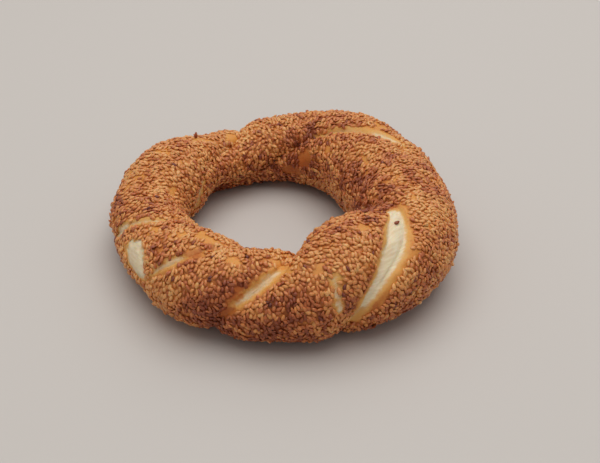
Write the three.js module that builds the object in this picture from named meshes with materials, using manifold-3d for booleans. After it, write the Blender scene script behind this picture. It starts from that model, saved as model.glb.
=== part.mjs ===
// A simit: two strands of dough twisted round each other into a ring and baked under sesame.
// Units are millimetres and degrees, +Z is up, and the ring lies on the plane z = 0 with the
// origin under the middle of its box.
//
// A point on the crust is given by two angles. The ring angle runs round the ring, from 0 on +X
// through 90 on +Y. The section angle runs round the dough: 0 is the outside, 90 the crown, 180 the
// inside of the ring, and -90 the underside.

import * as THREE from 'three';
import { MeshSurfaceSampler } from 'three/addons/math/MeshSurfaceSampler.js';
import { mergeGeometries, mergeVertices } from 'three/addons/utils/BufferGeometryUtils.js';
import Module from 'manifold-3d';

// ---- The ring -------------------------------------------------------------------------------

// The hand-rolled dough is uneven: its axis radius and its half width, every 30 degrees.
const AXIS_RADIUS = [59.1, 56.7, 61.8, 62.3, 58.4, 58.5, 60.4, 58.5, 62.7, 65.9, 64.9, 64.9];
const HALF_WIDTH = [24.4, 24.5, 23.2, 18.4, 17.2, 21.0, 18.4, 19.9, 22.8, 22.5, 27.2, 25.7];
const HEIGHT_RATIO = 0.89; // half height of the section over its half width
const SINK = 0.87; // height of the axis over the half height: the dough has settled
const FOOT = 1.7; // and the axis is this much higher, as the edge rolls under to a flat foot
const RING_CENTRE = new THREE.Vector2(-2.8, 4.0); // centre of the ring angles

// ---- The grooves between the strands --------------------------------------------------------

// Each groove crosses the underside, the outside, the crown and the inside at these ring angles.
// At the crown it runs "sweep" degrees round the ring for each quarter turn of the section. Its
// depth is given at the outside, the crown and the inside, and so is the width of its floor, which
// is flat where the skin has torn. After a whole turn each groove goes on as the next one but one.
const GROOVES = [
  { place: 'left', crossings: [146, 191, 212, 221], sweep: 30,
    depths: [2, 1.5, 1.5], floors: [0, 0, 0] },
  { place: 'front left', crossings: [207, 225, 246, 261], sweep: 31,
    depths: [1, 2, 5], floors: [0, 0, 0] },
  { place: 'front', crossings: [246, 255, 274, 287], sweep: 15,
    depths: [3.5, 5, 8.5], floors: [3, 4, 2] },
  { place: 'front right', crossings: [288, 295, 325, 344], sweep: 28,
    depths: [4.5, 3, 4.5], floors: [6, 9, 3] },
  { place: 'back right', crossings: [327, 367, 397, 454], sweep: 88,
    depths: [1, 2, 5], floors: [0, 0, 0] },
  { place: 'back left', crossings: [405, 467, 468, 518], sweep: 8,
    depths: [6, 4, 1], floors: [0, 0, 0] },
];
const UNDERSIDE_DEPTH = 3.0;
const SHOULDER = 12.0; // how far from a groove a strand has reached its full height
const SHOULDER_POWER = 0.7;
const INSIDE_DRAG = 0.5; // the grooves run slower round the ring where the strands are squeezed

// The inner wall is pressed in at the back left, low down.
const DENT = { ringAngle: 131, sectionAngle: 207, depth: 4.8, length: 10.5, height: 12 };

// ---- Mesh steps and seeds -------------------------------------------------------------------

const SECTION_STEPS = 24;
const STRAND_ROWS = [10, 14]; // rows across a strand; strands alternate, as their grooves do
const ROW_CROWDING = 0.6; // how far the rows crowd towards the grooves, from 0 to 1
const WELD = 1e-4; // points nearer than this are one point
const SEED = { length: 3.0, width: 1.8, thickness: 1.1, proud: 0.7, taper: 0.35, turn: 35 };
const SEED_COUNT = 175;
const SEED_SPACING = 12.0;
const SEED_FREE_HEIGHT = 3.0; // none on the flat underside or the edge that rolls under
const SEED_SIDES = 6;
const SEED_RINGS = 3;
const RANDOM_SEED = 7;

const CRUST = new THREE.MeshStandardMaterial({ color: '#b5682f', roughness: 0.6, metalness: 0 });

const { clamp, degToRad, euclideanModulo, lerp, smoothstep } = THREE.MathUtils;

// A smooth closed curve through values spaced evenly round the ring.
function aroundRing(values, ringAngle) {
  const place = (ringAngle / 360) * values.length;
  const first = Math.floor(place);
  const t = place - first;
  const [a, b, c, d] = [-1, 0, 1, 2].map((step) => values[euclideanModulo(first + step, values.length)]);
  const curve = (2 * a - 5 * b + 4 * c - d) * t * t + (3 * b - a - 3 * c + d) * t * t * t;
  return 0.5 * (2 * b + (c - a) * t + curve);
}

// Which groove, and how many degrees further round, groove "index" is after "quarter" quarter turns.
function grooveAt(index, quarter) {
  const onward = index + 2 * Math.floor(quarter / 4);
  const groove = GROOVES[euclideanModulo(onward, GROOVES.length)];
  const turned = 360 * Math.floor(onward / GROOVES.length);
  return { groove, side: euclideanModulo(quarter, 4), turned };
}

function crossing(index, quarter) {
  const { groove, side, turned } = grooveAt(index, quarter);
  return groove.crossings[side] + turned;
}

// Degrees round the ring that a groove runs in a quarter turn of the section, at that quarter.
function pace(index, quarter) {
  const { groove, side } = grooveAt(index, quarter);
  if (side === 2) return groove.sweep;
  const before = crossing(index, quarter) - crossing(index, quarter - 1);
  const after = crossing(index, quarter + 1) - crossing(index, quarter);
  const mean = (2 * before * after) / (before + after);
  return side === 3 ? INSIDE_DRAG * mean : mean;
}

// The ring angle at which a groove passes a section angle: a cubic between its crossings.
function grooveAngle(index, sectionAngle) {
  const place = (sectionAngle + 90) / 90;
  const quarter = Math.floor(place);
  const t = place - quarter;
  const rise = t * t * (3 - 2 * t);
  const leave = t * (1 - t) * (1 - t) * pace(index, quarter);
  const arrive = t * t * (t - 1) * pace(index, quarter + 1);
  return lerp(crossing(index, quarter), crossing(index, quarter + 1), rise) + leave + arrive;
}

// A size of a groove at a section angle, eased from its value at one side of the dough to the next.
function grooveSize(index, sectionAngle, key, atUnderside) {
  const place = (sectionAngle + 90) / 90;
  const quarter = Math.floor(place);
  const [from, to] = [quarter, quarter + 1].map((q) => {
    const { groove, side } = grooveAt(index, q);
    return side === 0 ? atUnderside : groove[key][side - 1];
  });
  return lerp(from, to, smoothstep(place - quarter, 0, 1));
}

// How far the crust lies below the full dough at a point beside a groove.
function sinkBeside(index, ringAngle, sectionAngle) {
  const half = aroundRing(HALF_WIDTH, ringAngle);
  const radius = aroundRing(AXIS_RADIUS, ringAngle) + half * Math.cos(degToRad(sectionAngle));
  const lean = grooveAngle(index, sectionAngle + 1) - grooveAngle(index, sectionAngle - 1);
  const along = radius * degToRad(Math.abs(ringAngle - grooveAngle(index, sectionAngle)));
  const distance = (along * half) / Math.hypot((radius * lean) / 2, half);
  const floor = grooveSize(index, sectionAngle, 'floors', 0);
  const climb = clamp((distance - floor / 2) / SHOULDER, 0, 1);
  const rounded = Math.pow(1 - (1 - climb) ** 2, SHOULDER_POWER);
  return grooveSize(index, sectionAngle, 'depths', UNDERSIDE_DEPTH) * (1 - rounded);
}

// How far the crust lies below the full dough in the dent.
function sinkInDent(ringAngle, sectionAngle) {
  const half = aroundRing(HALF_WIDTH, ringAngle);
  const radius = aroundRing(AXIS_RADIUS, ringAngle) + half * Math.cos(degToRad(sectionAngle));
  const away = euclideanModulo(ringAngle - DENT.ringAngle + 180, 360) - 180;
  const along = radius * degToRad(away);
  const around = half * degToRad(sectionAngle - DENT.sectionAngle);
  return DENT.depth * Math.exp(-((along / DENT.length) ** 2) - (around / DENT.height) ** 2);
}

// A point of the crust, sunk below the full dough by "sink".
function crustPoint(ringAngle, sectionAngle, sink) {
  const halfWidth = aroundRing(HALF_WIDTH, ringAngle);
  const halfHeight = HEIGHT_RATIO * halfWidth;
  const radius = aroundRing(AXIS_RADIUS, ringAngle) + (halfWidth - sink) * Math.cos(degToRad(sectionAngle));
  const axisHeight = FOOT + SINK * halfHeight;
  const height = axisHeight + (halfHeight - sink) * Math.sin(degToRad(sectionAngle));
  return new THREE.Vector3(
    RING_CENTRE.x + radius * Math.cos(degToRad(ringAngle)),
    RING_CENTRE.y + radius * Math.sin(degToRad(ringAngle)),
    Math.max(height, 0),
  );
}

// The bare ring. Its rows of points follow the grooves, so each groove is a clean line of edges,
// and a row that has gone once round the section meets the row two strands further on. Each
// four-sided patch is cut along its shorter diagonal.
function ringGeometry() {
  const points = [];
  for (let strand = 0; strand < GROOVES.length; strand += 1) {
    const rows = STRAND_ROWS[strand % 2];
    for (let row = 0; row < rows; row += 1) {
      const across = (1 - Math.cos((Math.PI * row) / rows)) / 2;
      const share = lerp(row / rows, across, ROW_CROWDING);
      for (let step = 0; step < SECTION_STEPS; step += 1) {
        const sectionAngle = -90 + (360 * step) / SECTION_STEPS;
        const from = grooveAngle(strand, sectionAngle);
        const to = grooveAngle(strand + 1, sectionAngle);
        const ringAngle = lerp(from, to, share);
        const sink =
          sinkBeside(strand, ringAngle, sectionAngle) +
          sinkBeside(strand + 1, ringAngle, sectionAngle) +
          sinkInDent(ringAngle, sectionAngle);
        points.push(crustPoint(ringAngle, sectionAngle, sink));
      }
    }
  }

  const rowCount = points.length / SECTION_STEPS;
  const rowsInTwoStrands = STRAND_ROWS[0] + STRAND_ROWS[1];
  const pointIndex = (row, step) => {
    const wraps = Math.floor(step / SECTION_STEPS);
    const wrappedRow = (row + wraps * rowsInTwoStrands) % rowCount;
    return wrappedRow * SECTION_STEPS + (step % SECTION_STEPS);
  };
  const indices = [];
  for (let row = 0; row < rowCount; row += 1) {
    for (let step = 0; step < SECTION_STEPS; step += 1) {
      const a = pointIndex(row, step);
      const b = pointIndex(row + 1, step);
      const c = pointIndex(row + 1, step + 1);
      const d = pointIndex(row, step + 1);
      const cutFromA = points[a].distanceTo(points[c]) < points[b].distanceTo(points[d]);
      indices.push(...(cutFromA ? [a, b, c, a, c, d] : [a, b, d, b, c, d]));
    }
  }
  const geometry = new THREE.BufferGeometry().setFromPoints(points);
  geometry.setIndex(indices);
  return geometry;
}

// Random numbers from 0 to 1 that are the same on every run.
function seededRandom(seed) {
  let state = seed;
  return () => {
    state = (state + 0x6d2b79f5) | 0;
    let mixed = Math.imul(state ^ (state >>> 15), 1 | state);
    mixed = (mixed + Math.imul(mixed ^ (mixed >>> 7), 61 | mixed)) ^ mixed;
    return ((mixed ^ (mixed >>> 14)) >>> 0) / 4294967296;
  };
}

// One sesame seed at the origin: a flat drop, long along X, with its pointed end on +X.
function seedGeometry() {
  const geometry = new THREE.SphereGeometry(1, SEED_SIDES, SEED_RINGS);
  geometry.rotateZ(-Math.PI / 2);
  const points = geometry.attributes.position;
  for (let i = 0; i < points.count; i += 1) {
    const along = points.getX(i);
    const girth = 1 - SEED.taper * along;
    points.setXYZ(
      i,
      (along * SEED.length) / 2,
      (points.getY(i) * girth * SEED.width) / 2,
      (points.getZ(i) * girth * SEED.thickness) / 2,
    );
  }
  return geometry;
}

// Seeds spread evenly over the ring, each lying flat on the crust and roughly along the ring.
function seedsOn(ring) {
  const random = seededRandom(RANDOM_SEED);
  const sampler = new MeshSurfaceSampler(new THREE.Mesh(ring.toNonIndexed()));
  sampler.setRandomGenerator(random).build();
  const seed = seedGeometry();
  const places = [];
  const seeds = [];
  const place = new THREE.Vector3();
  const normal = new THREE.Vector3();
  while (seeds.length < SEED_COUNT) {
    sampler.sample(place, normal);
    const turn = degToRad(SEED.turn) * (2 * random() - 1);
    const crowded = places.some((other) => other.distanceTo(place) < SEED_SPACING);
    if (crowded || place.z < SEED_FREE_HEIGHT) continue;
    places.push(place.clone());
    const alongRing = new THREE.Vector3(RING_CENTRE.y - place.y, place.x - RING_CENTRE.x, 0);
    const across = new THREE.Vector3().crossVectors(normal, alongRing).normalize();
    const along = new THREE.Vector3().crossVectors(across, normal);
    const lay = new THREE.Matrix4().makeBasis(along, across, normal);
    const lift = SEED.proud - SEED.thickness / 2;
    lay.setPosition(place.clone().addScaledVector(normal, lift));
    lay.multiply(new THREE.Matrix4().makeRotationZ(turn));
    seeds.push(seed.clone().applyMatrix4(lay));
  }
  return mergeGeometries(seeds);
}

function toSolid(wasm, geometry) {
  const plain = geometry.clone();
  plain.deleteAttribute('normal');
  plain.deleteAttribute('uv');
  const welded = mergeVertices(plain, WELD);
  const vertProperties = new Float32Array(welded.attributes.position.array);
  const triVerts = new Uint32Array(welded.index.array);
  return new wasm.Manifold(new wasm.Mesh({ numProp: 3, vertProperties, triVerts }));
}

function toGeometry(solid) {
  const { vertProperties, triVerts } = solid.getMesh();
  const geometry = new THREE.BufferGeometry();
  geometry.setAttribute('position', new THREE.BufferAttribute(vertProperties, 3));
  geometry.setIndex(new THREE.BufferAttribute(triVerts, 1));
  geometry.computeVertexNormals();
  return geometry;
}

const wasm = await Module();
wasm.setup();
const ring = ringGeometry();
ring.computeVertexNormals();
const solid = toSolid(wasm, ring).add(toSolid(wasm, seedsOn(ring)));

const simit = new THREE.Mesh(toGeometry(solid), CRUST);
simit.name = 'simit';
const part = new THREE.Group();
part.add(simit);

export default part;
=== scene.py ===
# %% [markdown]
# # A simit
# A simit is a ring of bread. The baker twists two ropes of dough round each other, joins the ends,
# dips the ring in thinned grape molasses, presses it into sesame and bakes it hot. Three things make
# it look real: the twisted body, the places where the rising dough tore its own skin, and thousands
# of toasted seeds that lie in a close coat. Each gets its own steps below.

# %% Load the frame
import math

import bpy
import numpy as np
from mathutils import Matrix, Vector, noise


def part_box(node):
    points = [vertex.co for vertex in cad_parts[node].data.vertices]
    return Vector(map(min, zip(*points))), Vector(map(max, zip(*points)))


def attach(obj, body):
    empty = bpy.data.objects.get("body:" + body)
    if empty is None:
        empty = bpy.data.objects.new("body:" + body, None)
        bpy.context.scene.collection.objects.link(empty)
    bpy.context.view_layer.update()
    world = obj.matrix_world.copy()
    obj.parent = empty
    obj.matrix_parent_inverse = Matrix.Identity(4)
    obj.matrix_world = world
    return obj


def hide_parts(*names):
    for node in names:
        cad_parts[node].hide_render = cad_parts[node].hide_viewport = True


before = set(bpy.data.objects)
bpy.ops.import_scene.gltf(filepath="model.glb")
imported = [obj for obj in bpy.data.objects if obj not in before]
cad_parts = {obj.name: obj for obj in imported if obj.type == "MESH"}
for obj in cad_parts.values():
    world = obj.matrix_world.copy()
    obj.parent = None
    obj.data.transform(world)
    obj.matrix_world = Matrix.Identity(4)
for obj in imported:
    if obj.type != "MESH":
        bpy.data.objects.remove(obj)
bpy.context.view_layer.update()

MM = 0.001
simit_low, simit_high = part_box("simit")
print("simit solid, mm:", [round((b - a) / MM, 1) for a, b in zip(simit_low, simit_high)])

# %% [markdown]
# ## The camera and the table
# The ring is seen from the front and above, as a plate on a table is seen by a person standing at
# it. A long lens keeps the back of the ring nearly as wide as its front. The camera is built before
# the bread, so that each piece can be judged as soon as it is made.

# %% Camera
AIM = Vector((8.49, -5.53, 13.7)) * MM
CAMERA_DISTANCE = 665.3 * MM
CAMERA_ELEVATION = math.radians(34.31)

camera_data = bpy.data.cameras.new("camera")
camera_data.lens = 85.0
camera_data.sensor_width = 36.0
camera = bpy.data.objects.new("camera", camera_data)
bpy.context.collection.objects.link(camera)
outward = Vector((0.0, -math.cos(CAMERA_ELEVATION), math.sin(CAMERA_ELEVATION)))
camera.location = AIM + CAMERA_DISTANCE * outward
camera.rotation_euler = (-outward).to_track_quat("-Z", "Y").to_euler()
bpy.context.scene.camera = camera
print("camera at, mm:", [round(c / MM) for c in camera.location])


# %% Helpers for colours and nodes
def linear(hex_colour):
    """An sRGB hex colour such as "#c98f4e" as linear red, green, blue and alpha."""
    parts = [int(hex_colour[i : i + 2], 16) / 255 for i in (1, 3, 5)]
    return [p / 12.92 if p <= 0.04045 else ((p + 0.055) / 1.055) ** 2.4 for p in parts] + [1.0]


def add(tree, kind, inputs=None, **settings):
    """Adds a node with its settings. An input is a value, a socket to link from, or a node."""
    node = tree.nodes.new(kind)
    for name, value in settings.items():
        setattr(node, name, value)
    for key, value in (inputs or {}).items():
        if isinstance(value, bpy.types.Node):
            value = next(socket for socket in value.outputs if socket.enabled)
        if isinstance(value, bpy.types.NodeSocket):
            tree.links.new(value, node.inputs[key])
        else:
            node.inputs[key].default_value = value
    return node


def start_material(name):
    """An empty material and its tree."""
    material = bpy.data.materials.new(name)
    material.use_nodes = True
    material.node_tree.nodes.clear()
    return material, material.node_tree


# %% [markdown]
# ## Light
# The real light is soft daylight: pale walls all round, a pale ceiling and a window behind the table.
# A white world gives the even part and two large area lights the rest. Light from above and a
# little from behind gives bread its dark, soft contact shadow in front. The view transform is set to
# Standard, so that the colours below come out as they were mixed.

# %% Lights and world
def soft_light(name, place, size, watts):
    """A white disk of light that faces the middle of the ring."""
    data = bpy.data.lights.new(name, "AREA")
    data.shape = "DISK"
    data.size = size
    data.energy = watts
    lamp = bpy.data.objects.new(name, data)
    lamp.location = place
    lamp.rotation_euler = (-Vector(place)).to_track_quat("-Z", "Y").to_euler()
    bpy.context.collection.objects.link(lamp)
    print(name, "light:", watts, "W, disk of", size, "m")


soft_light("window", place=(0.35, 0.85, 0.95), size=1.0, watts=1.9)
soft_light("ceiling", place=(0.0, 0.08, 1.35), size=1.8, watts=13.2)

world = bpy.data.worlds.new("room")
bpy.context.scene.world = world
world.use_nodes = True
background = world.node_tree.nodes["Background"].inputs
background["Color"].default_value = linear("#ffffff")
background["Strength"].default_value = 0.395
bpy.context.scene.view_settings.view_transform = "Standard"

# %% Table
FLOOR_SIZE = 8.0
# A matt, warm grey glaze: it takes soft shadows and throws a little warm light back up.
floor_material, tree = start_material("matt_pale_glaze")
shader = add(tree, "ShaderNodeBsdfPrincipled", {"Base Color": linear("#c9c2bb"), "Roughness": 0.7})
add(tree, "ShaderNodeOutputMaterial", {"Surface": shader})

floor_mesh = bpy.data.meshes.new("table")
floor_corners = np.array([(-1, -1, 0), (1, -1, 0), (1, 1, 0), (-1, 1, 0)]) * FLOOR_SIZE / 2
floor_mesh.from_pydata(floor_corners.tolist(), [], [(0, 1, 2, 3)])
floor_mesh.materials.append(floor_material)
floor = bpy.data.objects.new("table", floor_mesh)
bpy.context.collection.objects.link(floor)

# %% [markdown]
# ## The twisted body
# A point of the crust is given by two angles: one round the ring, and one round the dough, 0 on the
# outside, 90 on the crown, 180 inside the hole and -90 underneath. Two ropes twisted together leave
# grooves that wind round the dough as they run round the ring, and no two of them are alike,
# because hands rolled and twisted the dough. So the body is a rule with a short table: each groove
# says where it crosses the four sides, and the crust sinks towards it. The sizes are those of the
# solid that this skin replaces, so the form stays the same.

# %% The dough's sizes
# Millimetres, every 30 degrees round the ring from the right: out to the dough's middle line, and
# from there to its side.
AXIS_RADIUS = np.array([59.1, 56.7, 61.8, 62.3, 58.4, 58.5, 60.4, 58.5, 62.7, 65.9, 64.9, 64.9])
HALF_WIDTH = np.array([24.4, 24.5, 23.2, 18.4, 17.2, 21.0, 18.4, 19.9, 22.8, 22.5, 27.2, 25.7])
HEIGHT_RATIO = 0.89  # of the width
MIDDLE_RATIO = 0.87  # its middle lies lower than half its height, as it has sat down on the tray
FOOT = 1.7  # the edge rolls under, so the dough stands on a narrow foot
RING_CENTRE = (-2.8, 4.0)
BASE_GAP = 0.35  # the dough rests on its lowest seeds, not on the table

# Where each groove crosses the underside, outside, crown and inside, in degrees round the ring; how
# far it runs round the ring in a quarter turn at the crown; and at the outside, crown and inside its
# depth and, where it is torn, the width of its flat floor.
GROOVES = [
    dict(place="left", crossings=[146, 191, 212, 221], sweep=30, depths=[2, 1.5, 1.5]),
    dict(place="front left", crossings=[207, 225, 246, 261], sweep=31, depths=[1, 2, 5]),
    dict(place="front", crossings=[246, 255, 274, 287], sweep=15, depths=[3.5, 5, 8.5], floors=[3, 4, 2]),
    dict(place="front right", crossings=[288, 295, 325, 344], sweep=28, depths=[4.5, 3, 4.5],
         floors=[6, 9, 3]),
    dict(place="back right", crossings=[327, 367, 397, 454], sweep=88, depths=[1, 2, 5]),
    dict(place="back left", crossings=[405, 467, 468, 518], sweep=8, depths=[6, 4, 1]),
]
UNDERSIDE_DEPTH = 3.0
SHOULDER = 12.0  # how far from a groove a strand has reached its full height
SHOULDER_POWER = 0.7
INSIDE_DRAG = 0.5  # the grooves run slower round the ring where the strands are squeezed

# The inner wall is pressed in at the back left: ring and section angle, depth and reach.
DENT_CENTRE = (131, 207)
DENT_DEPTH = 4.8
DENT_LENGTH = 10.5
DENT_HEIGHT = 12.0

CROSSINGS = np.array([groove["crossings"] for groove in GROOVES], float)
SWEEPS = np.array([groove["sweep"] for groove in GROOVES], float)
DEPTHS = np.array([[UNDERSIDE_DEPTH, *groove["depths"]] for groove in GROOVES], float)
FLOORS = np.array([[0, *groove.get("floors", (0, 0, 0))] for groove in GROOVES], float)
print("grooves, deepest at, mm:", {groove["place"]: max(groove["depths"]) for groove in GROOVES})


# %% Where the grooves run
def around_ring(values, ring_angle):
    """A smooth closed curve through values spaced evenly round the ring."""
    place = np.asarray(ring_angle) / 360 * len(values)
    first = np.floor(place).astype(int)
    t = place - first
    a, b, c, d = (values[(first + step) % len(values)] for step in (-1, 0, 1, 2))
    curve = (2 * a - 5 * b + 4 * c - d) * t**2 + (3 * b - a - 3 * c + d) * t**3
    return 0.5 * (2 * b + (c - a) * t + curve)


def onward(index, quarter):
    """The groove that one goes on as after some quarter turns of the section: the next but one."""
    return index + 2 * (quarter // 4)


def crossing(index, quarter):
    """The ring angle at which a groove crosses a side of the dough."""
    groove = onward(index, quarter)
    return CROSSINGS[groove % len(GROOVES), quarter % 4] + 360 * (groove // len(GROOVES))


def pace(index, quarter):
    """Degrees round the ring that a groove runs in a quarter turn of the section."""
    before = crossing(index, quarter) - crossing(index, quarter - 1)
    after = crossing(index, quarter + 1) - crossing(index, quarter)
    mean = 2 * before * after / (before + after)
    side = quarter % 4
    slowed = np.where(side == 3, INSIDE_DRAG * mean, mean)
    return np.where(side == 2, SWEEPS[onward(index, quarter) % len(GROOVES)], slowed)


def quarter_of(section):
    """The quarter turn that a section angle lies in, and how far along it, from 0 to 1."""
    place = (np.asarray(section, float) + 90) / 90
    quarter = np.floor(place).astype(int)
    return quarter, place - quarter


def groove_angle(index, section):
    """The ring angle at which a groove passes a section angle: a cubic between its crossings."""
    quarter, t = quarter_of(section)
    rise = t * t * (3 - 2 * t)
    start, end = crossing(index, quarter), crossing(index, quarter + 1)
    bend = t * (1 - t) ** 2 * pace(index, quarter) + t * t * (t - 1) * pace(index, quarter + 1)
    return start + (end - start) * rise + bend


def groove_size(sizes, index, section):
    """A size of a groove at a section angle, eased from one side of the dough to the next."""
    quarter, t = quarter_of(section)
    start, end = (sizes[onward(index, q) % len(GROOVES), q % 4] for q in (quarter, quarter + 1))
    return start + (end - start) * t * t * (3 - 2 * t)


def across_groove(index, ring_angle, section):
    """Millimetres over the crust from a groove's line, positive further round the ring."""
    half = around_ring(HALF_WIDTH, ring_angle)
    radius = around_ring(AXIS_RADIUS, ring_angle) + half * np.cos(np.radians(section))
    lean = groove_angle(index, section + 1) - groove_angle(index, section - 1)
    along = radius * np.radians(ring_angle - groove_angle(index, section))
    return along * half / np.hypot(radius * lean / 2, half)


def sink_beside(index, ring_angle, section):
    """How far the crust lies below the full dough beside a groove."""
    distance = np.abs(across_groove(index, ring_angle, section))
    climb = np.clip((distance - groove_size(FLOORS, index, section) / 2) / SHOULDER, 0, 1)
    return groove_size(DEPTHS, index, section) * (1 - (1 - (1 - climb) ** 2) ** SHOULDER_POWER)


# %% [markdown]
# ## One grid of skin
# The rows of the grid run along the strands, so every groove is a clean line of edges, and the rows
# themselves show which way the dough was pulled. A row that has gone once round the dough meets the
# row two strands further on, which is what a twist means. The grid is fine enough, about 0.7 mm,
# for tears and wrinkles to be real shape.

# %% The grid
STRAND_ROWS = (76, 104)  # rows across a strand of one rope and of the other
SECTION_STEPS = 180
ROW_CROWDING = 0.5  # how far the rows crowd towards the grooves, from 0 to 1

row_count = 3 * sum(STRAND_ROWS)
rows_of_strand = [STRAND_ROWS[s % 2] for s in range(len(GROOVES))]
strand_of_row = np.repeat(range(len(GROOVES)), rows_of_strand)
share_of_row = np.concatenate([np.arange(count) / count for count in rows_of_strand])
crowded = (1 - np.cos(np.pi * share_of_row)) / 2
share_of_row = share_of_row + (crowded - share_of_row) * ROW_CROWDING

steps = np.arange(SECTION_STEPS)
section = np.broadcast_to(-90 + 360 * steps / SECTION_STEPS, (row_count, SECTION_STEPS))
strand = np.broadcast_to(strand_of_row[:, None], section.shape)
share = np.broadcast_to(share_of_row[:, None], section.shape)
ring_angle = (1 - share) * groove_angle(strand, section) + share * groove_angle(strand + 1, section)
half_width = around_ring(HALF_WIDTH, ring_angle)
axis_radius = around_ring(AXIS_RADIUS, ring_angle)


def grid_point(row, step):
    """The number of a grid point; a row that has gone once round goes on two strands further."""
    turned_row = row + sum(STRAND_ROWS) * (step // SECTION_STEPS)
    return turned_row % row_count * SECTION_STEPS + step % SECTION_STEPS


rows = np.arange(row_count)[:, None]
grid_faces = np.stack([
    grid_point(rows, steps), grid_point(rows + 1, steps),
    grid_point(rows + 1, steps + 1), grid_point(rows, steps + 1),
], -1).reshape(-1, 4)
print("grid:", row_count, "rows of", SECTION_STEPS, "points")

# %% [markdown]
# ## Tears
# In the oven the dough swells faster than its skin can stretch, and it gives way where the ropes
# press on each other. A tear shows pale crumb, framed by a seedless golden rim that was hidden in
# the fold when the ring went into the sesame. Each tear is told by the groove it opened along, the
# section angles it runs between, and its middle and width on the way, in millimetres. What matters
# for looks is one number at each point, the distance to the nearest torn edge, and the paint, the
# relief and the seeds all read that one number.

# %% Tears, patches and bare places
TEARS = [
    dict(place="front right", groove=3, section=(-6, 99), slant=0.9, pale=1.0, rim=(2.0, 3.4),
         middle=[2.7, 2.4, 2.0, 1.6, 0.2, -0.9, -0.9, 1.4],
         width=[2.6, 4.8, 5.6, 8.2, 9.4, 9.9, 9.4, 7.2]),
    dict(place="front right, foot", groove=3, section=(-26, -3), pale=0.1, rim=(1.0, 3.0),
         middle=[0.8, 1.2, 2.6], width=[1.4, 3.2, 3.6]),
    dict(place="front", groove=2, section=(18, 82), pale=0.6, rim=(2.2, 2.4),
         middle=[0.5, 0.4, -0.1, -0.5, -1.1, -0.8], width=[1.4, 3.0, 3.2, 3.4, 3.4, 2.0]),
    dict(place="front left", groove=1, section=(22, 62), pale=0.45, rim=(0.6, 2.4),
         middle=[-1.7, -1.5, -1.2, -1.1], width=[1.0, 2.8, 3.4, 2.0]),
    dict(place="left, torn end", groove=0, section=(6, 46), pale=0.7, rim=(0.5, 0.6),
         middle=[1.6, 0.8, -1.2, -2.8], width=[2.0, 4.6, 4.0, 1.4]),
    dict(place="left, thin line", groove=0, section=(48, 92), pale=0.5, rim=(0.9, 0.9),
         middle=[-2.2, -1.4, -1.2, -0.8], width=[1.2, 2.0, 1.9, 1.0]),
    dict(place="back right", groove=4, section=(62, 88), pale=0.6, rim=(1.2, 1.2),
         middle=[4.9, 3.9, 2.9, 1.7], width=[1.6, 3.2, 3.0, 1.4]),
    dict(place="back right, thin line", groove=4, section=(90, 126), pale=0.1, rim=(1.0, 1.0),
         middle=[1.5, 0.4, 0.0, -1.0], width=[1.0, 1.8, 1.8, 1.0]),
    dict(place="inside left", groove=5, section=(157, 195), pale=0.4, rim=(1.0, 1.0),
         middle=[1.3, 0.1, -0.3, -1.3], width=[1.0, 2.4, 2.6, 1.2]),
]
# Torn patches away from the grooves: a centre in ring and section angle, and an outline round it
# in millimetres along the ring and round the section.
PATCHES = [
    dict(place="left flank", centre=(215.9, 22.8), pale=0.9, rim=1.0,
         outline=[(-11.4, 2.2), (-8.0, 5.2), (-2.8, 8.6), (2.9, 6.0), (7.0, 3.5), (10.3, -0.5),
                  (12.4, -4.4), (10.8, -7.4), (6.2, -8.3), (0.9, -7.0), (-5.2, -6.4), (-8.8, -2.2)]),
    dict(place="front flank, low", centre=(288, 21), pale=0.75, rim=0.8,
         outline=[(-1.7, 2.8), (-0.2, 4.0), (1.4, 0.8), (2.4, -5.8), (0.2, -6.4), (-1.4, -2.2)]),
    dict(place="front flank, high", centre=(288, 44), pale=0.6, rim=0.7,
         outline=[(-1.4, 2.5), (1.3, 2.2), (3.0, 0.2), (1.2, -1.0), (1.0, -5.0), (-0.1, -4.8),
                  (-0.4, -0.6)]),
]
# Strips along the grooves with no seeds: the skin there is smooth, golden and shiny.
BARE_STRIPS = [
    dict(groove=2, section=(-8, 94), middle=[0.2, 0.4, -0.1, 0.2, -0.2, 0.3],
         width=[3.5, 5.6, 8.0, 9.6, 9.6, 5.0]),
    dict(groove=1, section=(4, 92), middle=[0.0, -0.2, 0.5, -0.8, -0.5, 0.0],
         width=[2.0, 4.0, 7.3, 4.6, 2.0, 1.2]),
    dict(groove=0, section=(10, 98), middle=[1.5, -1.0, -1.9, -0.9, -0.7, -2.0],
         width=[4.1, 4.9, 4.3, 4.9, 4.3, 3.0]),
    dict(groove=4, section=(62, 130), middle=[5.8, 6.4, 3.4, 1.4, -0.3, -1.0, -0.7],
         width=[6.0, 10.0, 5.0, 2.8, 3.8, 4.6, 2.6]),
    dict(groove=3, section=(-26, 100), middle=[1.9, 3.5, 2.6, 0.8, -0.5, 1.7],
         width=[3.2, 12.0, 11.3, 14.0, 14.2, 11.5]),
]
# Places where the seeds have thinned out: ring and section angle, then half the length along the
# ring and half the width round the section, in millimetres.
THIN_SPOTS = [
    (235.5, 104, 4.3, 5.3), (242, 101, 5.8, 3.3), (241, 74, 6.3, 3.9), (255.5, 78, 4.3, 3.3),
    (307, 88, 5.9, 3.7), (338, 83, 3.8, 3.2), (324, 108, 3.3, 4.3), (71, 165, 5.4, 6.8),
    (81, 191, 6.3, 4.7), (130, 84, 7.0, 5.5), (113, 91, 4.6, 8.0), (282.5, 59, 6.1, 3.5),
    (276, 72, 5.5, 3.3), (206, 16, 3.7, 4.5), (288, 41, 2.5, 2.9), (153, 78, 3.3, 6.3),
    (171, 70, 3.1, 5.3), (214, 72, 4.9, 3.1), (340, 41, 2.9, 5.3), (20, 70, 4.7, 2.9),
    (228, 91, 3.6, 3.0), (272, 96, 4.6, 3.0), (42, 64, 5.0, 4.5),
]
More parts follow.
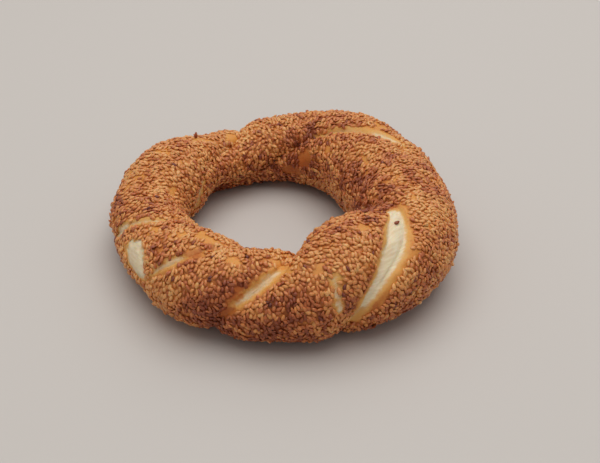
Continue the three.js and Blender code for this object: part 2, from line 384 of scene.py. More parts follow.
# More thin places come by chance.
THIN_SIZE = 7.0
THIN_FLATNESS = (1.0, 1.0, 1.6)  # they are lower than they are long
THIN_LEVEL = 0.40  # the higher, the fewer
THIN_REACH = 7.0
# A torn edge wanders by this much, in waves of this size. Strips and patches wander more.
RAGGED = 0.6
RAGGED_SIZE = 2.6
STRIP_RAGGED = 2
PATCH_RAGGED = 3
PROFILE_STEPS = 50  # points on a strip's middle line


def nearest_turn(groove):
    """The number of a groove on the turn that passes nearest to each point of the grid."""
    turns = np.round((ring_angle - groove_angle(groove, section)) / 360).astype(int)
    return groove + len(GROOVES) * turns


def strip_edge(strip):
    """Millimetres from each grid point to the edge of a strip along a groove, and to the groove.

    The first is negative inside the strip. A slant turns its upper end, in millimetres for each
    millimetre across.
    """
    low, high = strip["section"]
    span = np.linspace(low, high, PROFILE_STEPS)
    middles, widths = (
        np.interp(span, np.linspace(low, high, len(strip[key])), strip[key]) for key in ("middle", "width")
    )
    off_groove = across_groove(nearest_turn(strip["groove"]), ring_angle, section)
    off_middle = off_groove - np.interp(section, span, middles)
    beside = np.abs(off_middle) - np.interp(section, span, widths) / 2
    above = half_width * np.radians(section - high) + strip.get("slant", 0.0) * off_middle
    beyond = np.maximum(half_width * np.radians(low - section), above)
    edge = np.where(beyond > 0, np.hypot(beyond, np.maximum(beside, 0)), np.maximum(beside, beyond))
    return edge, off_groove


def outline_edge(across, up, outline):
    """Signed distance to a closed outline, negative inside it."""
    nearest = np.full(across.shape, np.inf)
    inside = np.zeros(across.shape, bool)
    for (x0, y0), (x1, y1) in zip(outline, outline[1:] + outline[:1]):
        run, rise = x1 - x0, y1 - y0
        t = np.clip(((across - x0) * run + (up - y0) * rise) / (run**2 + rise**2), 0, 1)
        nearest = np.minimum(nearest, np.hypot(across - x0 - t * run, up - y0 - t * rise))
        spans = (y0 > up) != (y1 > up)
        inside ^= spans & (across < x0 + (up - y0) * run / (rise or 1e-9))
    return np.where(inside, -nearest, nearest)


def on_crust(centre):
    """Millimetres along the ring and round the section from a centre, given in two angles."""
    radius = axis_radius + half_width * np.cos(np.radians(section))
    away = (ring_angle - centre[0] + 180) % 360 - 180
    return radius * np.radians(away), half_width * np.radians(section - centre[1])


def smooth(low, high, value):
    """0 to 1 as a value passes from low to high, with smooth ends."""
    t = np.clip((value - low) / (high - low), 0, 1)
    return t * t * (3 - 2 * t)


def drift(where, size, offset):
    """Smooth noise from about -1 to 1 at each place, with features of a size in millimetres."""
    scaled = (where / (size * MM) + offset).reshape(-1, 3)
    return np.array([noise.noise(Vector(spot)) for spot in scaled]).reshape(where.shape[:-1])


# %% Paint the numbers on the grid
FAR_AWAY = 50.0  # millimetres to an edge before any is found


def grid_places(sink):
    """The grid's points in metres, sunk below the full dough by some millimetres."""
    half_height = HEIGHT_RATIO * half_width
    radius = axis_radius + (half_width - sink) * np.cos(np.radians(section))
    height = FOOT + MIDDLE_RATIO * half_height + (half_height - sink) * np.sin(np.radians(section))
    return MM * np.stack([
        RING_CENTRE[0] + radius * np.cos(np.radians(ring_angle)),
        RING_CENTRE[1] + radius * np.sin(np.radians(ring_angle)),
        np.maximum(height, BASE_GAP),
    ], -1)


tear_edge = np.full(section.shape, FAR_AWAY)
bare_edge = np.full(section.shape, FAR_AWAY)
thin_edge = np.full(section.shape, FAR_AWAY)
pale = np.zeros(section.shape)
full_dough = grid_places(0.0)
ragged = RAGGED * drift(full_dough, RAGGED_SIZE, 5.0)

for tear in TEARS:
    edge, off_groove = strip_edge(tear)
    rim = np.where(off_groove > np.mean(tear["middle"]), tear["rim"][1], tear["rim"][0])
    pale = np.where(edge < tear_edge, tear["pale"], pale)
    tear_edge = np.minimum(tear_edge, edge + ragged)
    bare_edge = np.minimum(bare_edge, edge - rim)
print("tears, widest, mm:", {tear["place"]: max(tear["width"]) for tear in TEARS})

for patch in PATCHES:
    edge = outline_edge(*on_crust(patch["centre"]), patch["outline"])
    pale = np.where(edge < tear_edge, patch["pale"], pale)
    tear_edge = np.minimum(tear_edge, edge + PATCH_RAGGED * ragged)
    bare_edge = np.minimum(bare_edge, edge - patch["rim"])
print("torn patches:", [patch["place"] for patch in PATCHES])

for strip in BARE_STRIPS:
    edge, off_groove = strip_edge(strip)
    bare_edge = np.minimum(bare_edge, edge + STRIP_RAGGED * ragged)

for ring_place, section_place, half_length, half_girth in THIN_SPOTS:
    spot_along, spot_round = on_crust((ring_place, section_place))
    reach = np.hypot(spot_along / half_length, spot_round / half_girth)
    edge = (reach - 1) * min(half_length, half_girth)
    thin_edge = np.minimum(thin_edge, edge + PATCH_RAGGED * ragged)
by_chance = drift(full_dough * THIN_FLATNESS, THIN_SIZE, 14.0) + THIN_LEVEL
thin_edge = np.minimum(thin_edge, THIN_REACH * by_chance)
print(f"of the grid, {(tear_edge < 0).mean():.1%} is torn crumb, {(bare_edge < 0).mean():.1%} bare skin")

# %% [markdown]
# ## Browning and painted shade
# The oven browns what stands proud and faces its hot wall. Broad toasted areas are told by centre,
# radius and amount; the crust and the seeds that lie on it share the value. On the front foot, along
# the underside and in the back hollow, the darker value is partly painted shade.

# %% Browning and painted shade
# Centre in ring and section angle, radius in millimetres, and how much browner it is.
TOASTED = [
    (272, 12, 22, 0.12),  # front strand
    # The two front foot entries are browner, and partly painted shade where the dough curls under.
    (276, -18, 20, 0.12),  # front foot
    (271, -32, 12, 0.30),  # front foot, lowest
    (250, -18, 12, 0.50),  # beside the front groove
    (230, -12, 12, -0.50),  # front left foot
    (227, 46, 8, 0.45),  # above the front left tear
    (211, 14, 12, -0.45),  # left flank, round the patch
    (183, 38, 8, 0.40),  # left end
    (222, 85, 20, -0.08),  # front left crown
    (229, 86, 8, -0.30),  # front left crown, thin
    (240, 118, 8, -0.35),  # front left, inner edge
    (272, 92, 8, -0.30),  # top of the front tear
    (278, 60, 8, 0.22),  # below the front tear
    (260, 44, 7, 0.45),  # above the front tear
    (296, 56, 8, -0.35),  # front right strand
    # Front right foot: browner, and partly painted shade under the curl.
    (308, -18, 12, 0.35),  # front right foot
    (5, 60, 22, -0.06),  # right crown
    (331, 60, 12, -0.25),  # right of the great tear
    (338, 83, 9, -0.30),  # above the great tear
    (358, 52, 12, 0.30),  # right shoulder
    (246, 10, 14, 0.06),  # front left strand
    (335, 12, 22, -0.05),  # right flank
    (70, 95, 16, 0.10),  # back crown
    (25, 60, 8, -0.50),  # end of the back tear
    # Back hollow: browner seeds, and partly painted shade in the crease.
    (84, 160, 13, 0.25),  # back hollow
    (81, 190, 7, 0.45),  # smooth fold in the hollow
    (71, 165, 7, 0.25),  # bare end of a strand
    (160, 85, 26, -0.16),  # left back
    (112, 92, 12, -0.30),  # back left crown
    (195, 85, 18, -0.14),  # left crown
    (199, 104, 12, 0.25),  # left crown, inner half
    (118, 165, 17, -0.12),  # inner wall, left
    (125, 158, 8, 0.40),  # inner wall, back left
    (42, 165, 17, -0.08),  # inner wall, right
    (51, 166, 8, 0.20),  # inner wall, back
    (13, 154, 12, 0.38),  # inner wall, far right
    (348, 160, 8, 0.30),  # inner wall, near right
    (329, 128, 12, 0.50),  # crease beside the great tear
]
EVEN_TOAST = 0.45
TOAST_DRIFTS = [(0.34, 13.0, 104.5), (0.36, 5.5, 1.0)]  # amount, size, place in the noise
# Browner underneath from the tray, and partly painted shade where the dough curls under.
UNDERSIDE_TOAST_AND_SHADE = 0.30
UNDERSIDE_FADES = [(-25, -70), (205, 250)]  # section angles at which it sets in
THIN_TOAST = -0.16  # the skin between thin seeds is paler
THIN_FADE = (1.5, -2.0)

# One value for browning and painted shade; the crust and its seeds both read it.
toast = np.full(section.shape, EVEN_TOAST)
for *centre, radius, amount in TOASTED:
    away = np.hypot(*on_crust(centre))
    toast += amount * np.exp(-((away / radius) ** 2))
toast += sum(amount * drift(full_dough, size, offset) for amount, size, offset in TOAST_DRIFTS)
toast += UNDERSIDE_TOAST_AND_SHADE * np.maximum(*(smooth(*fade, section) for fade in UNDERSIDE_FADES))
toast += THIN_TOAST * smooth(*THIN_FADE, thin_edge)
toast = np.clip(toast, 0, 1)
print("toast from", f"{toast.min():.2f}", "to", f"{toast.max():.2f}")

# %% [markdown]
# ## The skin's own height
# The solid's face is the outside of the seed coat, so the skin lies a seed's thickness below it. Torn
# crumb starts a step lower and swells up in the middle, and the skin curls up a little at its edge.

# %% Points of the crust
COAT = 1.3
SKIN_STEP = 0.35
STEP_FOOT, STEP_TOP = -1.2, 0.6  # from the torn edge
CURL_HEIGHT = 0.35
CURL_REACH = 1.3
CRUMB_SWELL = 0.9
SWELL_REACH = 4.0

sink = sink_beside(strand, ring_angle, section) + sink_beside(strand + 1, ring_angle, section)
dent_along, dent_round = on_crust(DENT_CENTRE)
sink += DENT_DEPTH * np.exp(-((dent_along / DENT_LENGTH) ** 2) - (dent_round / DENT_HEIGHT) ** 2)
step_down = SKIN_STEP * (1 - smooth(STEP_FOOT, STEP_TOP, tear_edge))
curl = CURL_HEIGHT * np.exp(-(((tear_edge - CURL_REACH) / CURL_REACH) ** 2))
swell = CRUMB_SWELL * smooth(0.0, SWELL_REACH, -tear_edge)
sink = sink + COAT + step_down - curl - swell

points = grid_places(sink)
lies_flat = points[..., 2] <= BASE_GAP * MM
print("crust, mm:", np.ptp(points.reshape(-1, 3), axis=0).round(4) / MM)


# %% Make the mesh
def mesh_object(name, verts, faces, attributes):
    """A mesh object at the origin, with named values on its points."""
    mesh = bpy.data.meshes.new(name)
    mesh.from_pydata(verts.tolist(), [], faces.tolist())
    for key, values in attributes.items():
        values = np.ascontiguousarray(values, np.float32)
        vector = values.ndim == 2
        made = mesh.attributes.new(key, "FLOAT_VECTOR" if vector else "FLOAT", "POINT")
        made.data.foreach_set("vector" if vector else "value", values.ravel())
    made_object = bpy.data.objects.new(name, mesh)
    bpy.context.collection.objects.link(made_object)
    return made_object


THIN_COVER = 0.8  # a thin place looks bare only this far inside its edge
near_groove = np.where(share < 0.5, strand, strand + 1)
across = across_groove(near_groove, ring_angle, section)
round_dough = half_width * np.radians(section)
crust = mesh_object("crust", points.reshape(-1, 3), grid_faces, {
    "tear_edge": tear_edge.ravel(),
    "bare_edge": np.minimum(bare_edge, thin_edge + THIN_COVER).ravel(),
    "pale": pale.ravel(),
    "toast": toast.ravel(),
    "grain": np.stack([across, round_dough, 0 * round_dough], -1).reshape(-1, 3) * MM,
    "free": 1.0 - lies_flat.ravel(),
})
crust.data.shade_smooth()
print("crust:", len(crust.data.polygons) * 2, "triangles")

# %% [markdown]
# ## Relief by Geometry Nodes
# Dough has lumps a finger wide, wrinkles a few millimetres wide, and torn crumb has fine ribs
# where it was pulled apart. A tree moves each point of the grid along its normal by noise of those
# sizes. The ribs are noise stretched across the tear, read from the grain coordinates.

# %% Tree for the relief
def start_tree(name, inputs):
    """A Geometry Nodes tree with named inputs; returns it with the sockets that give them."""
    tree = bpy.data.node_groups.new(name, "GeometryNodeTree")
    tree.interface.new_socket(name="Geometry", in_out="OUTPUT", socket_type="NodeSocketGeometry")
    for label, kind in {"Geometry": "Geometry", **inputs}.items():
        tree.interface.new_socket(name=label, in_out="INPUT", socket_type="NodeSocket" + kind)
    return tree, add(tree, "NodeGroupInput").outputs


def end_tree(tree, geometry, material):
    """Makes what a tree has made real, gives it its material and returns the finished tree."""
    realized = add(tree, "GeometryNodeRealizeInstances", {"Geometry": geometry})
    dressed = add(tree, "GeometryNodeSetMaterial", {"Geometry": realized, "Material": material})
    add(tree, "NodeGroupOutput", {"Geometry": dressed})
    return tree


def apply_tree(target, tree, values):
    """Runs a tree on an object and keeps the result as its plain mesh."""
    modifier = target.modifiers.new(tree.name, "NODES")
    modifier.node_group = tree
    for item in tree.interface.items_tree:
        if item.in_out == "INPUT" and item.name in values:
            modifier[item.identifier] = values[item.name]
    bpy.context.view_layer.update()
    evaluated = target.evaluated_get(bpy.context.evaluated_depsgraph_get())
    result = bpy.data.meshes.new_from_object(evaluated)
    target.modifiers.remove(modifier)
    target.data = result


def named(tree, name, kind="FLOAT"):
    return add(tree, "GeometryNodeInputNamedAttribute", {"Name": name}, data_type=kind)


def maths(tree, operation, *values):
    return add(tree, "ShaderNodeMath", dict(enumerate(values)), operation=operation)


def noise_height(tree, place, size, height, detail=2.0):
    """Noise with features of a size and about this height from lowest to highest, in metres."""
    scale = maths(tree, "DIVIDE", 1.0, size)
    rough = add(tree, "ShaderNodeTexNoise", {"Vector": place, "Scale": scale, "Detail": detail})
    return maths(tree, "MULTIPLY", maths(tree, "SUBTRACT", rough, 0.5), height)


RELIEF = {
    "Lump Size": 13 * MM, "Lump Height": 2.4 * MM,
    "Wrinkle Size": 5.0 * MM, "Wrinkle Height": 1.5 * MM,
    "Rib Size": 2.2 * MM, "Rib Height": 0.15 * MM,
}
tree, give = start_tree("skin relief", {key: "Float" for key in RELIEF} | {"Material": "Material"})
position = add(tree, "GeometryNodeInputPosition")
lumps = noise_height(tree, position, give["Lump Size"], give["Lump Height"], detail=1.0)
wrinkles = noise_height(tree, position, give["Wrinkle Size"], give["Wrinkle Height"])
pulled_out = add(
    tree, "ShaderNodeVectorMath", {0: named(tree, "grain", "FLOAT_VECTOR"), 1: (0.5, 1.0, 1.0)},
    operation="MULTIPLY",
)
ribs = noise_height(tree, pulled_out, give["Rib Size"], give["Rib Height"])
off_tear = named(tree, "tear_edge")
torn = add(tree, "ShaderNodeMapRange", {"Value": off_tear, "From Min": 0.4, "From Max": -1.0})
fine = add(tree, "ShaderNodeMix", {0: torn, 2: wrinkles, 3: ribs}, data_type="FLOAT")
total = maths(tree, "MULTIPLY", maths(tree, "ADD", lumps, fine), named(tree, "free"))
normal = add(tree, "GeometryNodeInputNormal")
push = add(tree, "ShaderNodeVectorMath", {0: normal, "Scale": total}, operation="SCALE")
moved = add(tree, "GeometryNodeSetPosition", {"Geometry": give["Geometry"], "Offset": push})
relief_tree = end_tree(tree, moved, give["Material"])

# %% [markdown]
# ## The glazed skin
# The skin is bread crust with a film of baked molasses. Under the seeds it is red brown, on the
# rims and bare places it is golden and a little shiny, and the torn crumb is cream, dull and finely
# pored. One material mixes the three by the distance to the torn edge, roughened by noise so that
# the edge frays, and by the browning.

# %% Material of the skin
def mix(tree, factor, first, second):
    """Colour between two colours."""
    return add(tree, "ShaderNodeMix", {0: factor, 6: first, 7: second}, data_type="RGBA")


def ramp(tree, value, low, high):
    """0 to 1 as a value passes from low to high, with smooth ends."""
    inputs = {"Value": value, "From Min": low, "From Max": high}
    return add(tree, "ShaderNodeMapRange", inputs, interpolation_type="SMOOTHSTEP")


def per(size):
    """The Scale of a texture whose features have this size in millimetres."""
    return 1 / (size * MM)


def painted(tree, name, kind="Fac"):
    """What the mesh carries under a name: a number, or a vector."""
    return add(tree, "ShaderNodeAttribute", attribute_name=name).outputs[kind]


WARM_SCATTER = (1.0, 0.45, 0.2)  # red light travels furthest inside bread and seeds

# Baked dough with a film of molasses: red brown to golden, softly shining, dull cream in the tears.
crust_material, tree = start_material("molasses_glazed_crust")
place = add(tree, "ShaderNodeTexCoord").outputs["Object"]
small = add(tree, "ShaderNodeTexNoise", {"Vector": place, "Scale": per(1.1), "Detail": 3.0})
pores = add(tree, "ShaderNodeTexNoise", {"Vector": place, "Scale": per(0.5), "Detail": 2.0})
pulled = add(
    tree, "ShaderNodeVectorMath", {0: painted(tree, "grain", "Vector"), 1: (0.35, 1.0, 1.0)},
    operation="MULTIPLY",
)
fibres = add(tree, "ShaderNodeTexNoise", {"Vector": pulled, "Scale": per(1.4), "Detail": 3.0})

# Red brown under the seeds, golden where it is bare; darker where painted shade is in the value.
uneven = maths(tree, "MULTIPLY_ADD", small, 0.5, -0.25)
browning_and_shade = maths(tree, "ADD", painted(tree, "toast"), uneven)
under_seeds = mix(tree, ramp(tree, browning_and_shade, 0.0, 1.0), linear("#cc7d3a"), linear("#843a17"))
golden_skin = mix(tree, ramp(tree, browning_and_shade, 0.1, 0.9), linear("#dc974a"), linear("#b8622b"))
frayed = maths(tree, "MULTIPLY_ADD", small, 1.6, -0.8)
frayed_bare = maths(tree, "ADD", painted(tree, "bare_edge"), frayed)
skin = mix(tree, ramp(tree, frayed_bare, 1.0, -1.0), under_seeds, golden_skin)

# A gilt rim round the tears, and the crumb in them.
frayed_tear = maths(tree, "ADD", painted(tree, "tear_edge"), frayed)
gilt = maths(tree, "MULTIPLY", ramp(tree, frayed_tear, 2.6, 0.2), ramp(tree, browning_and_shade, 1.1, 0.5))
skin = mix(tree, gilt, skin, linear("#dca458"))
crumb = mix(tree, ramp(tree, fibres, 0.3, 0.7), linear("#dec9a3"), linear("#eadbbc"))
crumb = mix(tree, painted(tree, "pale"), linear("#d4a268"), crumb)
tornness = ramp(tree, frayed_tear, 0.5, -1.3)
colour = mix(tree, tornness, skin, crumb)

dullness = add(tree, "ShaderNodeMapRange", {"Value": tornness, "To Min": 0.46, "To Max": 0.85})
height = maths(tree, "ADD", maths(tree, "MULTIPLY", small, 0.7), maths(tree, "MULTIPLY", pores, 0.3))
bump = add(tree, "ShaderNodeBump", {"Height": height, "Strength": 0.5, "Distance": 0.35 * MM})
shader = add(tree, "ShaderNodeBsdfPrincipled", {
    "Base Color": colour, "Roughness": dullness, "IOR": 1.45, "Normal": bump,
    "Specular IOR Level": 0.3, "Subsurface Weight": 0.3, "Subsurface Scale": 1.0 * MM,
    "Subsurface Radius": WARM_SCATTER,
})
add(tree, "ShaderNodeOutputMaterial", {"Surface": shader})

# %% Raise the relief
def keep_above(piece, lowest):
    """Lifts the points of a piece that lie below a height, and returns all its points."""
    spots = np.empty(len(piece.data.vertices) * 3)
    piece.data.vertices.foreach_get("co", spots)
    spots[2::3] = np.maximum(spots[2::3], lowest)
    piece.data.vertices.foreach_set("co", spots)
    piece.data.update()
    return spots.reshape(-1, 3)


apply_tree(crust, relief_tree, RELIEF | {"Material": crust_material})
crust_points = keep_above(crust, BASE_GAP * MM)
print("crust with relief, mm:", (np.ptp(crust_points, axis=0) / MM).round(1))

# %% [markdown]
# ## Where the seeds lie
# The wet ring is pressed into a tray of sesame, so the seeds lie flat and close, and one hardly
# lies across another, because a seed that finds no wet dough falls off. Random throws with a
# test give that: a seed keeps its place if no earlier one is too near, measured along and across
# both seeds. Dough is rolled in one direction, so neighbours lie roughly alike, with a drift over the
# ring. A second, thin layer lies on top where seeds stuck to seeds.

# %% Throw the seeds
SEED_LENGTH = 3.1
SEED_WIDTH = 1.85
CLOSENESS = 0.67  # below 1, neighbours may overlap by a little
THROWS = 150000
HEADING = 60.0  # degrees from the run of the strand
DRIFT_TURN = 60.0
DRIFT_SIZE = 16.0
LOOSE_TURN = 32.0
SIZE_SPREAD = 0.11
SIZE_LIMITS = (0.74, 1.26)
BARE_BORDER = (0.2, 0.45)  # where the coat ends, in millimetres from the edge, and its spread
THIN_BORDER = (0.0, 0.9)
CLEAR_OF_TEARS = 0.5
UNDERSIDE_TOP = 1.2
UNDERSIDE_SHARE = 0.45  # of the seeds stay on where the dough meets the tray
MIDDLE_HEIGHT = 15.0
rng = np.random.default_rng(11)

triangles = np.concatenate([grid_faces[:, [0, 1, 2]], grid_faces[:, [0, 2, 3]]])
corners = crust_points[triangles]
face_cross = np.cross(corners[:, 1] - corners[:, 0], corners[:, 2] - corners[:, 0])
face_area = np.linalg.norm(face_cross, axis=1) / 2
face_normal = face_cross / (2 * face_area[:, None] + 1e-15)
if (face_normal[:, 2] * (corners[:, :, 2].mean(1) - MIDDLE_HEIGHT * MM)).sum() < 0:
    raise ValueError("the crust is inside out")
print("crust area, mm2:", round(face_area.sum() / MM**2))

# The run of the strand at each point of the grid. A row's two ends have one neighbour.
strand_run = np.roll(points, -1, axis=1) - np.roll(points, 1, axis=1)
strand_run[:, 0] = points[:, 1] - points[:, 0]
strand_run[:, -1] = points[:, -1] - points[:, -2]
strand_run = (strand_run / np.linalg.norm(strand_run, axis=-1, keepdims=True)).reshape(-1, 3)


def throw(count):
    """Points spread evenly over the crust: place, normal, run of the strand and what is painted."""
    chosen = rng.choice(len(triangles), count, p=face_area / face_area.sum())
    weights = rng.random((count, 2))
    weights = np.where(weights.sum(1, keepdims=True) > 1, 1 - weights, weights)
    weights = np.column_stack([1 - weights.sum(1), weights])
    at = triangles[chosen]
    maps = dict(bare=bare_edge, thin=thin_edge, tear=tear_edge, toast=toast)
    blend = {key: (values.ravel()[at] * weights).sum(1) for key, values in maps.items()}
    where = (crust_points[at] * weights[..., None]).sum(1)
    return where, face_normal[chosen], strand_run[at[:, 0]], blend


def turned(lie, stand, degrees):
    """A direction on the crust, made square to the normal and turned about it."""
    lie = lie - stand * (lie * stand).sum(1, keepdims=True)
    lie /= np.linalg.norm(lie, axis=1, keepdims=True)
    side = np.cross(stand, lie)
    angle = np.radians(degrees)[:, None]
    return lie * np.cos(angle) + side * np.sin(angle)


where, stand, lie, painted_there = throw(THROWS)
heading = HEADING + DRIFT_TURN * drift(where, DRIFT_SIZE, 3.0) + LOOSE_TURN * rng.standard_normal(THROWS)
lie = turned(lie, stand, heading)
sizes = rng.normal(1.0, SIZE_SPREAD, (THROWS, 3)).clip(*SIZE_LIMITS)
wanted = painted_there["bare"] > rng.normal(*BARE_BORDER, THROWS)
wanted &= painted_there["thin"] > rng.normal(*THIN_BORDER, THROWS)
wanted &= (where[:, 2] > UNDERSIDE_TOP * MM) | (rng.random(THROWS) < UNDERSIDE_SHARE)
wanted &= painted_there["tear"] > CLEAR_OF_TEARS


def settle(candidates):
    """Keeps each seed that isn't too near one kept before, and how it must give way to the others.

    A seed that overlaps an earlier one lies on its edge: it is lifted and leans away from it. A
    coarse grid finds the neighbours.
    """
    shelf = {}
    kept, raised, leans = [], [], []
    length, width = SEED_LENGTH * MM, SEED_WIDTH * MM
    cells = np.floor(where / length).astype(int).tolist()
    spots, headings = where.tolist(), lie.tolist()
    around = [(i, j, k) for i in (-1, 0, 1) for j in (-1, 0, 1) for k in (-1, 0, 1)]

    def apart(gap_squared, dot_heading):
        dot_squared = dot_heading * dot_heading
        return math.sqrt(dot_squared / length**2 + max(gap_squared - dot_squared, 0) / width**2)

    for index in candidates:
        x, y, z = spots[index]
        hx, hy, hz = headings[index]
        cx, cy, cz = cells[index]
        up, away = 0.0, [0.0, 0.0, 0.0]
        for other in (o for i, j, k in around for o in shelf.get((cx + i, cy + j, cz + k), ())):
            ox, oy, oz = spots[other]
            dx, dy, dz = x - ox, y - oy, z - oz
            gap_squared = dx * dx + dy * dy + dz * dz
            if gap_squared > length**2:
                continue
            gx, gy, gz = headings[other]
            mine = apart(gap_squared, dx * hx + dy * hy + dz * hz)
            theirs = apart(gap_squared, dx * gx + dy * gy + dz * gz)
            room = (mine + theirs) / 2
            if room < CLOSENESS:
                break
            if room < 1:
                up = max(up, 1 - room)
                pull = (1 - room) / math.sqrt(gap_squared)
                away = [away[0] + pull * dx, away[1] + pull * dy, away[2] + pull * dz]
        else:
            shelf.setdefault((cx, cy, cz), []).append(index)
            kept.append(index)
            raised.append(up)
            leans.append(away)
    return np.array(kept), np.array(raised), np.array(leans)


kept, raised, leans = settle(np.flatnonzero(wanted))
print("seeds in the coat:", len(kept), "of which overlap another:", (raised > 0).sum())

# %% [markdown]
# ## How each seed sits
# A seed is pressed in by about a third of its thickness and tips a few degrees. The few on top of
# others stand higher and tip more. Seeds brown in patches with the crust, but each also by itself,
# and a few that lie proud have gone dark, in small clusters as in life.

# %% Place, tip and brown each seed
SEED_THICKNESS = 1.0
THICKEST_SEED = 1.25
PROUD = 0.66  # of the thickness, above the crust
PROUD_SPREAD = 0.08
RAISE = 1.3  # millimetres for a full overlap
LEAN = 1.1
TIP = 12.0
TOP_LAYER = 380  # seeds that stuck to seeds
TOP_LIFT = 0.7
TOP_TIP = 20.0
TOAST_SPREAD = 0.155
MOST_TOASTED = 0.95
DARK_CLUSTERS = [
    (259, 115), (264, 120), (260, 91), (248, 75), (302, 59), (269, 27), (290, 32), (252, -6),
    (148, 106), (198, 81), (179, 18), (194, 1), (101, 154), (87, 168), (68, 133), (32, 90),
    (89, 98), (282, 4), (250, 46),
]
CLUSTER_RADIUS = 1.3
CLUSTER_TOAST = (1.0, 1.35)
SCORCHED_SHARE = 0.004
SCORCHED_TOAST = 1.1
# One seed has fallen on the torn crumb, and one stands on end on the left crown.
STRAY_SEED = dict(spot=(321, 80), lift=0.5, toast=0.97, length=1.2)
STRAY_LIE = (0.8, 0.9, 0.2)
STANDING_SEED = dict(spot=(130, 71), lift=1.6, toast=0.9, length=1.15)

top_choice = rng.choice(np.flatnonzero(wanted), TOP_LAYER, replace=False)
chosen = np.concatenate([kept, top_choice])
on_top = np.arange(len(chosen)) >= len(kept)
raised = np.concatenate([raised, np.zeros(TOP_LAYER)])
leans = np.concatenate([leans, np.zeros((TOP_LAYER, 3))])

seed_at = where[chosen]
seed_stand = stand[chosen] + LEAN * leans
seed_lie = lie[chosen]
tipped = np.where(on_top, TOP_TIP, TIP)[:, None] * rng.standard_normal((len(chosen), 2))
side = np.cross(seed_stand, seed_lie)
tip_endwise, tip_sidewise = np.tan(np.radians(tipped)).T[..., None]
seed_stand = seed_stand + seed_lie * tip_endwise + side * tip_sidewise
seed_stand /= np.linalg.norm(seed_stand, axis=1, keepdims=True)
seed_lie = turned(seed_lie, seed_stand, np.zeros(len(chosen)))
press = rng.normal(PROUD - 0.5, PROUD_SPREAD, len(chosen)) * SEED_THICKNESS
lift = (press + RAISE * raised + np.where(on_top, TOP_LIFT, 0.0)) * MM
seed_at = seed_at + stand[chosen] * lift[:, None]

# Under the ring the tray has pressed the seeds in, until they lie level with it.
half_sizes = np.array([SEED_LENGTH, SEED_WIDTH, THICKEST_SEED]) * sizes[chosen] * MM / 2
upright = np.stack([seed_lie[:, 2], np.cross(seed_stand, seed_lie)[:, 2], seed_stand[:, 2]], -1)
seed_at[:, 2] = np.maximum(seed_at[:, 2], np.linalg.norm(half_sizes * upright, axis=1))

seed_size = sizes[chosen]
# Each seed takes the crust's value under it, painted shade included, plus a tint of its own.
seed_toast_and_shade = painted_there["toast"][chosen] + TOAST_SPREAD * rng.standard_normal(len(chosen))
seed_toast_and_shade = seed_toast_and_shade.clip(0.0, MOST_TOASTED)
seed_toast_and_shade[rng.random(len(chosen)) < SCORCHED_SHARE] = SCORCHED_TOAST


def spot_on_crust(centre):
    """The number of the grid point nearest to a centre given in two angles."""
    return np.argmin(np.hypot(*on_crust(centre)))


for cluster in DARK_CLUSTERS:
    centre = crust_points[spot_on_crust(cluster)]
    near = np.linalg.norm(where[chosen] - centre, axis=1) < CLUSTER_RADIUS * MM
    seed_toast_and_shade[near] = CLUSTER_TOAST[0] + np.ptp(CLUSTER_TOAST) * rng.random(near.sum())

normals = np.empty(len(crust.data.vertices) * 3)
crust.data.vertices.foreach_get("normal", normals)
normals = normals.reshape(-1, 3)
singles = (STRAY_SEED, STANDING_SEED)
stray, standing = spots = [spot_on_crust(single["spot"]) for single in singles]
lifts = np.array([[single["lift"] * MM] for single in singles])
seed_at = np.vstack([seed_at, crust_points[spots] + lifts * normals[spots]])
seed_stand = np.vstack([seed_stand, normals[stray], strand_run[standing]])
seed_lie = np.vstack([seed_lie, STRAY_LIE, normals[standing]])
seed_toast_and_shade = np.append(seed_toast_and_shade, [single["toast"] for single in singles])
seed_size = np.vstack([seed_size, [(single["length"], 1.0, 1.0) for single in singles]])
print("seeds in all:", len(seed_at), "mean toast", seed_toast_and_shade.mean().round(2))

# %% [markdown]
# ## One seed, many times
# A sesame seed is a flat drop, three millimetres long, blunt at one end and pointed at the other. The
# tree makes it from a small sphere whose points are moved by a rule, then sets one on each point of
# the coat, turned by the two directions that the point carries. Each kind of seed has its own
# proportions and its own piece: golden and plump, honey, toasted, brown and slimmer, dark and shrunk.

# %% Tree for the seeds
SEED_SIDES = 6
SEED_RINGS = 5

tree, give = start_tree("sesame coat", {"Half Size": "Vector", "Taper": "Float", "Material": "Material"})
ball = add(tree, "GeometryNodeMeshUVSphere", {"Segments": SEED_SIDES, "Rings": SEED_RINGS, "Radius": 1.0})
spot = add(tree, "ShaderNodeSeparateXYZ", {0: add(tree, "GeometryNodeInputPosition")}).outputs
girth = maths(tree, "MULTIPLY_ADD", spot["Z"], maths(tree, "MULTIPLY", give["Taper"], -1.0), 1.0)
breadth, depth = (maths(tree, "MULTIPLY", spot[axis], girth) for axis in "XY")
tapered = add(tree, "ShaderNodeCombineXYZ", {0: spot["Z"], 1: breadth, 2: depth})
sized = add(tree, "ShaderNodeVectorMath", {0: tapered, 1: give["Half Size"]}, operation="MULTIPLY")
tip_kept = add(
    tree, "GeometryNodeStoreNamedAttribute", {"Geometry": ball, "Name": "tip", "Value": spot["Z"]},
    data_type="FLOAT", domain="POINT",
)
drop = add(tree, "GeometryNodeSetPosition", {"Geometry": tip_kept, "Position": sized})
rounded = add(tree, "GeometryNodeSetShadeSmooth", {"Geometry": drop})
facing = add(
    tree, "FunctionNodeAxesToRotation",
    {0: named(tree, "stand", "FLOAT_VECTOR"), 1: named(tree, "lie", "FLOAT_VECTOR")},
    primary_axis="Z", secondary_axis="X",
)
coat = add(tree, "GeometryNodeInstanceOnPoints", {
    "Points": give["Geometry"], "Instance": rounded, "Rotation": facing,
    "Scale": named(tree, "size", "FLOAT_VECTOR"),
})
seed_tree = end_tree(tree, coat, give["Material"])

# %% [markdown]
# ## Toasted sesame
# Hulled sesame is ivory when raw and toasts through gold to red brown. The skin of a seed is thin
# and oily, so it has a soft shine. The blunt end browns first, and fine mottling keeps
# neighbours from looking cast in one mould.

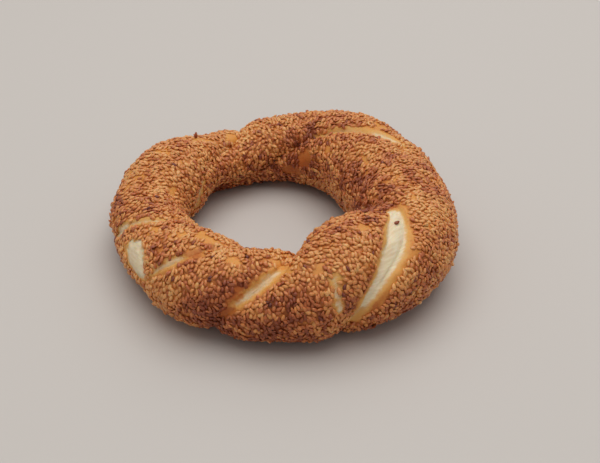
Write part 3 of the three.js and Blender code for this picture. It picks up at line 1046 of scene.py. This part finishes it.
# %% Materials of the seeds
def toasted_sesame(name, least, most, pale_hex, brown_hex):
    """Sesame skin from one toast value to another: oily, softly shining, each seed its own tint."""
    material, tree = start_material(name)
    place = add(tree, "ShaderNodeTexCoord").outputs["Object"]
    mottle = add(tree, "ShaderNodeTexNoise", {"Vector": place, "Scale": per(0.9), "Detail": 2.0})
    mottled = maths(tree, "MULTIPLY_ADD", mottle, 0.4, -0.2)
    shade = maths(tree, "ADD", painted(tree, "toast"), mottled)
    shade = maths(tree, "SUBTRACT", shade, maths(tree, "MULTIPLY", painted(tree, "tip"), 0.08))
    colour = mix(tree, ramp(tree, shade, least, most), linear(pale_hex), linear(brown_hex))
    bump = add(tree, "ShaderNodeBump", {"Height": mottle, "Strength": 0.3, "Distance": 0.12 * MM})
    shader = add(tree, "ShaderNodeBsdfPrincipled", {
        "Base Color": colour, "Roughness": 0.38, "IOR": 1.47, "Normal": bump,
        "Specular IOR Level": 0.5, "Subsurface Weight": 0.4, "Subsurface Scale": 0.9 * MM,
        "Subsurface Radius": WARM_SCATTER,
    })
    add(tree, "ShaderNodeOutputMaterial", {"Surface": shader})
    return material


# From what toast to what; length, width and thickness in millimetres; the two ends of the colour.
KINDS = [
    dict(name="golden", toast=(0, 0.42), size=(3.00, 1.92, 1.20), taper=0.22, tint=("#e4a665", "#d68d4e")),
    dict(name="honey", toast=(0.42, 0.54), size=(3.05, 1.88, 1.15), taper=0.26,
         tint=("#d99150", "#cd7f46")),
    dict(name="toasted", toast=(0.54, 0.67), size=(3.05, 1.82, 1.10), taper=0.28,
         tint=("#cf824a", "#bc693a")),
    dict(name="brown", toast=(0.67, 0.98), size=(3.00, 1.78, 1.05), taper=0.3,
         tint=("#bd6c3c", "#8d4425")),
    dict(name="dark", toast=(0.98, 1.4), size=(2.85, 1.66, 0.95), taper=0.3, tint=("#8a4430", "#5e2a1c")),
]

# %% Make one piece for each kind
seed_pieces = []
for kind in KINDS:
    least, most = kind["toast"]
    own = (seed_toast_and_shade >= least) & (seed_toast_and_shade < most)
    piece = mesh_object("seeds_" + kind["name"], seed_at[own], np.empty((0, 3), int), {
        "stand": seed_stand[own],
        "lie": seed_lie[own],
        "size": seed_size[own],
        "toast": seed_toast_and_shade[own],
    })
    apply_tree(piece, seed_tree, {
        "Half Size": [measure * MM / 2 for measure in kind["size"]],
        "Taper": kind["taper"],
        "Material": toasted_sesame("sesame_" + kind["name"], least, most, *kind["tint"]),
    })
    keep_above(piece, 0.0)
    triangle_count = sum(len(face.vertices) - 2 for face in piece.data.polygons)
    seed_pieces.append(piece)
    print(piece.name, own.sum(), "seeds,", triangle_count, "triangles")

# %% [markdown]
# ## In place of the solid
# Every piece rides the part's one body, and the solid that the pieces replace is hidden.

# %% Attach the pieces and hide the solid
for piece in [crust, *seed_pieces]:
    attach(piece, "root")
    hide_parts("simit")
